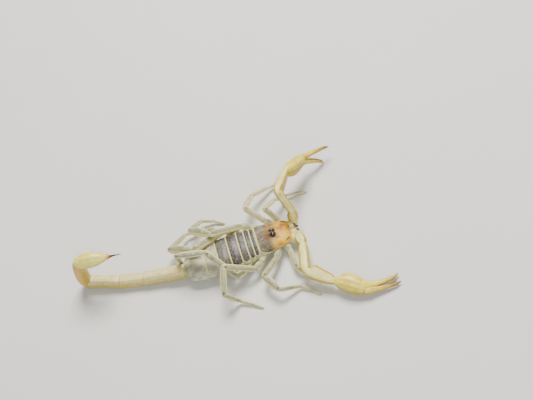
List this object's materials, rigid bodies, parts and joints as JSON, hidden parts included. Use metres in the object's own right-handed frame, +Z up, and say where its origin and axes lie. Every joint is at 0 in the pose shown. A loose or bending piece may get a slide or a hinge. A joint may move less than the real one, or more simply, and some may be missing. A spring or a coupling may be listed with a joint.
{
  "type": "desert scorpion",
  "caption": "Life-size slender sand scorpion at rest on the floor, legs spread, one claw raised at the elbow, end of the tail curled up and forward over its base.",
  "frame": {"origin": "middle of the footprint's bounding box, on the floor under the animal", "axes": "+X from the body towards the head and claws, +Y to the animal's left, +Z up"},
  "size_m": [0.0726, 0.0412, 0.0131],
  "materials": {
    "carapace_shell": "smooth satin shell, orange in front, grey-brown behind, pale rear rim",
    "back_shell": "satin grey-brown plates with cream rear bands",
    "soft_skin": "soft pale cream-green skin, slightly matt",
    "eye": "glossy black",
    "mouth_shell": "satin cream shell with red-brown teeth",
    "claw_shell": "satin pale yellow shell with ochre edges",
    "finger_shell": "satin ochre shell, dark red-brown biting edge",
    "leg_shell": "satin greenish cream shell with tan edges",
    "tail_shell": "satin pale yellow shell with ochre ridges",
    "tail_end_shell": "satin ochre shell with golden edges",
    "bulb_shell": "smooth glossy pale yellow",
    "sting": "glossy, orange-brown to dark purple-brown",
    "comb_shell": "soft satin cream"
  },
  "bodies": {
    "root": {"carapace": "carapace_shell", "prosoma_underside": "soft_skin", "eye_right": "eye", "chelicera_right": "mouth_shell", "pecten_right": "comb_shell", "eye_left": "eye", "chelicera_left": "mouth_shell", "pecten_left": "comb_shell", "tergite_1": "back_shell", "tergite_2": "back_shell", "tergite_3": "back_shell", "tergite_4": "back_shell", "tergite_5": "back_shell", "tergite_6": "back_shell", "tergite_7": "back_shell", "mesosoma_underside": "soft_skin", "metasoma_1": "tail_shell", "metasoma_2": "tail_shell", "metasoma_3": "tail_shell", "metasoma_4": "tail_shell", "metasoma_5": "tail_end_shell", "telson_vesicle": "bulb_shell", "telson_sting": "sting", "pedipalp_right_trochanter": "claw_shell", "pedipalp_right_femur": "claw_shell", "pedipalp_right_patella": "claw_shell", "pedipalp_right_hand": "claw_shell", "pedipalp_right_finger": "finger_shell", "leg_right_1_femur": "leg_shell", "leg_right_1_patella": "leg_shell", "leg_right_1_tibia": "leg_shell", "leg_right_2_femur": "leg_shell", "leg_right_2_patella": "leg_shell", "leg_right_2_tibia": "leg_shell", "leg_right_3_femur": "leg_shell", "leg_right_3_patella": "leg_shell", "leg_right_3_tibia": "leg_shell", "leg_right_4_femur": "leg_shell", "leg_right_4_patella": "leg_shell", "leg_right_4_tibia": "leg_shell", "pedipalp_left_trochanter": "claw_shell", "pedipalp_left_femur": "claw_shell", "pedipalp_left_patella": "claw_shell", "pedipalp_left_hand": "claw_shell", "pedipalp_left_finger": "finger_shell", "leg_left_1_femur": "leg_shell", "leg_left_1_patella": "leg_shell", "leg_left_1_tibia": "leg_shell", "leg_left_2_femur": "leg_shell", "leg_left_2_patella": "leg_shell", "leg_left_2_tibia": "leg_shell", "leg_left_3_femur": "leg_shell", "leg_left_3_patella": "leg_shell", "leg_left_3_tibia": "leg_shell", "leg_left_4_femur": "leg_shell", "leg_left_4_patella": "leg_shell", "leg_left_4_tibia": "leg_shell"}
  },
  "joints": []
}
